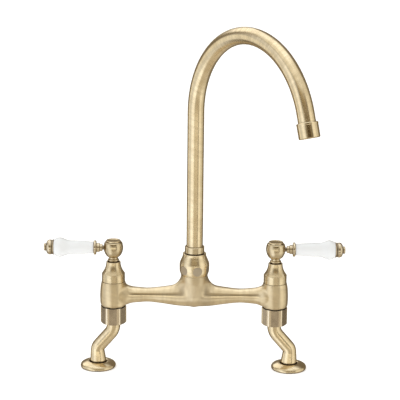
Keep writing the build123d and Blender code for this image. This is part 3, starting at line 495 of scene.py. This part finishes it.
def turned_metal(name, light, dark, roughness, pitch=0.3 * MM):
    """Bare metal with the rings left by turning."""
    material, nodes, shader = new_material(name)
    place = object_place(nodes)
    found = lines_of(nodes, place, round_upright, pitch, length=20 * MM)
    masks = use_group(nodes, PATINA, Place=place)
    colour = nodes.blend(found["Bands"], (*light, 1), (*dark, 1))
    # Painted shade: corners are darkened by the occlusion mask, together with soil.
    soiled_and_shaded = tuple(channel * 0.4 for channel in dark)
    colour = nodes.blend(nodes.math("MULTIPLY", masks["Corners"], 0.5), colour, (*soiled_and_shaded, 1))
    nodes.feed(shader, "Base Color", colour)
    shader.inputs["Metallic"].default_value = 1.0
    nodes.feed(shader, "Roughness", nodes.math("MULTIPLY_ADD", found["Lines"], 0.12, roughness))
    bump = nodes.add("Bump", Strength=1.0, Distance=TURNING_DEPTH, Height=found["Lines"])
    nodes.feed(shader, "Normal", bump.outputs[0])
    return material


def moulded(name, light, dark, roughness, grain=1400.0):
    """Rubber, plastic, fibre or plain ceramic: a dull surface with a fine even grain."""
    material, nodes, shader = new_material(name)
    place = object_place(nodes)
    clouds = nodes.noise(place, scale=180.0, detail=4.0)
    fine = nodes.noise(place, scale=grain, detail=2.0)
    nodes.feed(shader, "Base Color", nodes.blend(clouds, (*light, 1), (*dark, 1)))
    nodes.feed(shader, "Roughness", nodes.math("MULTIPLY_ADD", fine, 0.15, roughness - 0.07))
    bump = nodes.add("Bump", Strength=0.6, Distance=GRAIN_DEPTH, Height=fine)
    nodes.feed(shader, "Normal", bump.outputs[0])
    return material


def dress(material, *names):
    """Gives a material to pieces.  A name without a side is given to both sides."""
    for name in names:
        for node in [name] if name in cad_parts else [f"{side}_{name}" for side in SIDES]:
            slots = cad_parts[node].data.materials
            slots.clear()
            slots.append(material)


def dress_the_bridge():
    lines = two_ways(round_upright, upright_axis, round_sideways, sideways_axis, on_the_arms)
    regions = [
        (on_the_arms, RUBBED_AND_HIGHLIGHT_BRASS, 0.1, -0.08),
        (on_the_boss, RUBBED_AND_HIGHLIGHT_BRASS, 0.2, 0.1),
        # Painted shade on the right side of the middle boss.
        (on_the_boss_right, SHADE_PAINTED_BRASS, 0.22, 0.0),
    ]
    brass = antique_brass("bridge_brass", lines, roughness=0.40, pull=0.85, marks=regions)
    dress(brass, "bridge_body")


def dress_the_spout():
    dress(antique_brass("neck_brass", one_way(round_neck, neck_axis)), "spout_tube")
    level_lines = one_way(round_upright, upright_axis)
    dress(antique_brass("collar_brass", level_lines, **TURNED_COLOURS), "spout_collar")
    flats = [(on_the_milled_flats, MILLED_BRASS, 0.85, 0.22)]
    dress(antique_brass("shroud_nut_brass", level_lines, roughness=0.26, pull=0.6, marks=flats), "shroud_nut")
    nozzle_lines = one_way(round_nozzle, nozzle_axis)
    dress(antique_brass("nozzle_brass", nozzle_lines, roughness=0.14, pull=0.3), "nozzle_housing")


def dress_the_levers():
    hub_lines = one_way(round_upright, upright_axis, pitch=0.4 * MM)
    dress(antique_brass("hub_brass", hub_lines, roughness=0.2, pull=0.5, **TURNED_COLOURS), "handle_hub")
    cap_lines = one_way(round_sideways, sideways_axis, pitch=0.3 * MM)
    dress(antique_brass("cap_brass", cap_lines, corner_patina_and_shade=0.95), "hub_cap")
    colours = {"light": (0.80, 0.69, 0.51), "deep": (0.66, 0.56, 0.40), "corner_patina_and_shade": 1.0}
    lever_lines = one_way(round_sideways, sideways_axis, pitch=0.35 * MM, length=10 * MM)
    dress(antique_brass("stem_brass", lever_lines, **colours), "lever_stem")
    # Painted shade in the hollow round each end cap.
    hollow = [(in_the_cap_hollow, SHADE_PAINTED_BRASS, 0.85, 0.1)]
    dress(antique_brass("end_cap_brass", lever_lines, marks=hollow, **colours), "lever_end_cap")
    dress(porcelain("grip_porcelain"), "lever_grip")


def dress_the_bonnets_and_legs():
    level_lines = one_way(round_upright, upright_axis)
    colours = {"light": (0.85, 0.72, 0.49), "deep": (0.75, 0.61, 0.39)}
    dress(antique_brass("bonnet_brass", level_lines, roughness=0.25, pull=0.55, **colours), "bonnet")
    dress(antique_brass("flange_brass", level_lines, **colours), "base_flange")
    leg_lines = two_ways(round_upright, upright_axis, round_crank, crank_axis, on_the_crank)
    dress(antique_brass("leg_brass", leg_lines), "leg")
    darker = {"light": (0.66, 0.56, 0.42), "deep": (0.50, 0.42, 0.32)}
    # Painted highlights on the upright corners of each union nut.
    corners = [(on_the_nut_corners, RUBBED_AND_HIGHLIGHT_BRASS, 0.9, -0.03)]
    nut_lines = one_way(upright_faces, upright_axis)
    nut_brass = antique_brass("union_nut_brass", nut_lines, roughness=0.25, pull=0.3, marks=corners, **darker)
    dress(nut_brass, "union_nut")


def dress_the_inside():
    plain_brass = turned_metal("bare_brass", (0.80, 0.62, 0.32), (0.66, 0.48, 0.22), 0.25)
    dress(plain_brass, "valve_insert", "spindle", "spout_spigot")
    steel = turned_metal("stainless_steel", (0.62, 0.61, 0.59), (0.46, 0.45, 0.44), 0.22, pitch=0.2 * MM)
    dress(steel, "locking_screw", "spindle_clip", "hub_screw", "lever_rod")
    rubber = moulded("black_rubber", (0.012, 0.012, 0.012), (0.03, 0.03, 0.03), 0.6)
    dress(rubber, "deck_seal", "dust_ring", "seat_seal", "spindle_rings", "spigot_rings", "aerator_washer")
    fibre = moulded("fibre_washers", (0.36, 0.20, 0.13), (0.24, 0.13, 0.08), 0.8, grain=700.0)
    dress(fibre, "union_washer", "grip_cushions")
    ceramic = moulded("lapped_ceramic", (0.86, 0.85, 0.80), (0.80, 0.79, 0.75), 0.3, grain=2500.0)
    dress(ceramic, "fixed_disc", "moving_disc")
    dress(moulded("bearing_plastic", (0.86, 0.86, 0.83), (0.78, 0.78, 0.74), 0.4), "spout_bearings")
    dress(moulded("aerator_plastic", (0.80, 0.80, 0.78), (0.70, 0.70, 0.67), 0.35), "aerator_insert")


# ---- studio ---------------------------------------------------------------------------
def make_soft_card():
    """How much of a soft-edged studio card lies in a direction given by azimuth and elevation."""
    nodes, given, out = new_group(
        "studio card",
        [
            ("Azimuth", "Float", 0.0),
            ("Elevation", "Float", 0.0),
            ("Middle", "Float", 0.0),
            ("Level", "Float", 0.0),
            ("Half Width", "Float", 30.0),
            ("Half Height", "Float", 30.0),
            ("Softness", "Float", 10.0),
        ],
        [("Share", "Float")],
    )
    shares = []
    for value, centre, half in (("Azimuth", "Middle", "Half Width"), ("Elevation", "Level", "Half Height")):
        off = nodes.math("ABSOLUTE", nodes.math("SUBTRACT", given[value], given[centre]))
        outer = nodes.math("ADD", given[half], given["Softness"])
        inner = nodes.math("SUBTRACT", given[half], given["Softness"])
        shares.append(nodes.soft_step(off, outer, inner))
    nodes.feed(out, "Share", nodes.math("MULTIPLY", *shares))
    return nodes.tree


# Cards round the tap: middle and half width in degrees of azimuth (0 towards the camera, 90 to
# the right), middle and half height in degrees of elevation, softness in degrees, colour.
STUDIO_CARDS = [
    ("table", 0, 400, -90, 42, 14, (0.62, 0.56, 0.46)),
    ("table, near side", 0, 70, -36, 14, 8, (0.80, 0.75, 0.64)),
    ("overhead softbox", 0, 400, 90, 40, 12, (1.34, 1.36, 1.36)),
    ("front canopy", 0, 110, 56, 16, 8, (0.95, 0.93, 0.86)),
    ("backdrop behind the left", -150, 30, 36, 14, 5, (1.38, 1.36, 1.31)),
    ("left softbox", -72, 35, -8, 46, 9, (0.80, 0.81, 0.82)),
    ("table, far left", -110, 10, -12, 17, 5, (0.98, 0.95, 0.86)),
    ("left softbox, lower middle", -43, 21, -26, 30, 7, (1.30, 1.33, 1.35)),
    ("left softbox, upper middle", -62, 14, 14, 18, 7, (1.18, 1.20, 1.22)),
    ("right softbox", 78, 34, 4, 52, 9, (0.78, 0.75, 0.66)),
    ("right softbox, bright middle", 62, 18, -6, 34, 7, (1.08, 1.05, 0.95)),
    ("front of the room", 8, 22, -17, 14, 6, (0.46, 0.40, 0.31)),
    ("far edge of the table", 2, 32, -3, 7, 4, (1.36, 1.30, 1.12)),
    ("dim gap over the table", 0, 24, 29, 11, 6, (0.40, 0.32, 0.19)),
    ("camera", 2, 17, 15, 6, 3, (0.07, 0.045, 0.02)),
]
STUDIO_DIM = (0.21, 0.175, 0.125)  # between the cards
BACKDROP = (1.0, 1.0, 1.0, 1)  # as the camera sees it behind the tap
LAMP_TARGET = Vector((0, 0, 0.15))


def make_studio():
    """The studio's light comes from its surroundings: soft cards with dim gaps between them."""
    card = make_soft_card()
    world = bpy.data.worlds.new("studio")
    bpy.context.scene.world = world
    world.use_nodes = True
    world.node_tree.nodes.clear()
    nodes = Nodes(world.node_tree)
    parts = nodes.parts(nodes.add("TexCoord").outputs["Generated"])
    degrees = math.degrees(1)
    forward = nodes.math("MULTIPLY", parts["Y"], -1.0)
    azimuth = nodes.math("MULTIPLY", nodes.math("ARCTAN2", parts["X"], forward), degrees)
    elevation = nodes.math("MULTIPLY", nodes.math("ARCSINE", parts["Z"]), degrees)
    colour = (*STUDIO_DIM, 1)
    for _, middle_azimuth, half_width, level, half_height, softness, tint in STUDIO_CARDS:
        share = use_group(
            nodes,
            card,
            Azimuth=azimuth,
            Elevation=elevation,
            Middle=middle_azimuth,
            Level=level,
            Half_Width=half_width,
            Half_Height=half_height,
            Softness=softness,
        )["Share"]
        colour = nodes.blend(share, colour, (*tint, 1))
    sees = nodes.add("LightPath").outputs["Is Camera Ray"]
    colour = nodes.blend(sees, colour, BACKDROP)
    light = nodes.add("Background", Color=colour, Strength=1.0)
    out = nodes.add("OutputWorld")
    nodes.feed(out, "Surface", light.outputs[0])


def make_table():
    """Wide pale table top.  It glows faintly, which keeps it evenly white and lightens the shadows on it."""
    half = 6.0
    corners = [(-half, -half, 0), (half, -half, 0), (half, half, 0), (-half, half, 0)]
    mesh = bpy.data.meshes.new("table_top")
    mesh.from_pydata(corners, [], [(0, 1, 2, 3)])
    table = bpy.data.objects.new("table_top", mesh)
    bpy.context.scene.collection.objects.link(table)
    material, nodes, shader = new_material("table_top")
    clouds = nodes.noise(object_place(nodes), scale=3.0)
    nodes.feed(shader, "Base Color", nodes.blend(clouds, (0.93, 0.93, 0.93, 1), (0.95, 0.95, 0.95, 1)))
    shader.inputs["Roughness"].default_value = 0.7
    shader.inputs["Specular IOR Level"].default_value = 0.1
    shader.inputs["Emission Color"].default_value = (1, 1, 1, 1)
    shader.inputs["Emission Strength"].default_value = 0.4
    mesh.materials.append(material)
    table.visible_glossy = False


def make_lamp(name, place, size, power):
    """A square lamp panel that faces the tap."""
    data = bpy.data.lights.new(name, "AREA")
    data.size = size
    data.energy = power
    lamp = bpy.data.objects.new(name, data)
    bpy.context.scene.collection.objects.link(lamp)
    lamp.location = place
    lamp.rotation_euler = (LAMP_TARGET - Vector(place)).to_track_quat("-Z", "Y").to_euler()
    lamp.visible_camera = False
    lamp.visible_glossy = False


def make_camera():
    data = bpy.data.cameras.new("camera")
    data.lens = CAMERA_LENS
    data.sensor_width = CAMERA_SENSOR
    data.clip_start = 0.05
    data.clip_end = 50
    camera = bpy.data.objects.new("camera", data)
    bpy.context.scene.collection.objects.link(camera)
    tilt = Matrix.Rotation(math.radians(90 - CAMERA_PITCH), 4, "X")
    roll = Matrix.Rotation(math.radians(CAMERA_ROLL), 4, "Z")
    camera.matrix_world = Matrix.Translation(CAMERA_PLACE) @ tilt @ roll
    bpy.context.scene.camera = camera


dress_the_bridge()
dress_the_spout()
dress_the_levers()
dress_the_bonnets_and_legs()
dress_the_inside()
make_studio()
make_table()
make_lamp("overhead_lamp", place=(-0.5, -0.6, 1.9), size=1.8, power=6.5)
make_lamp("low_front_lamp", place=(0.3, -1.9, 0.3), size=1.2, power=1.0)
make_camera()
bpy.context.scene.view_settings.view_transform = "Standard"
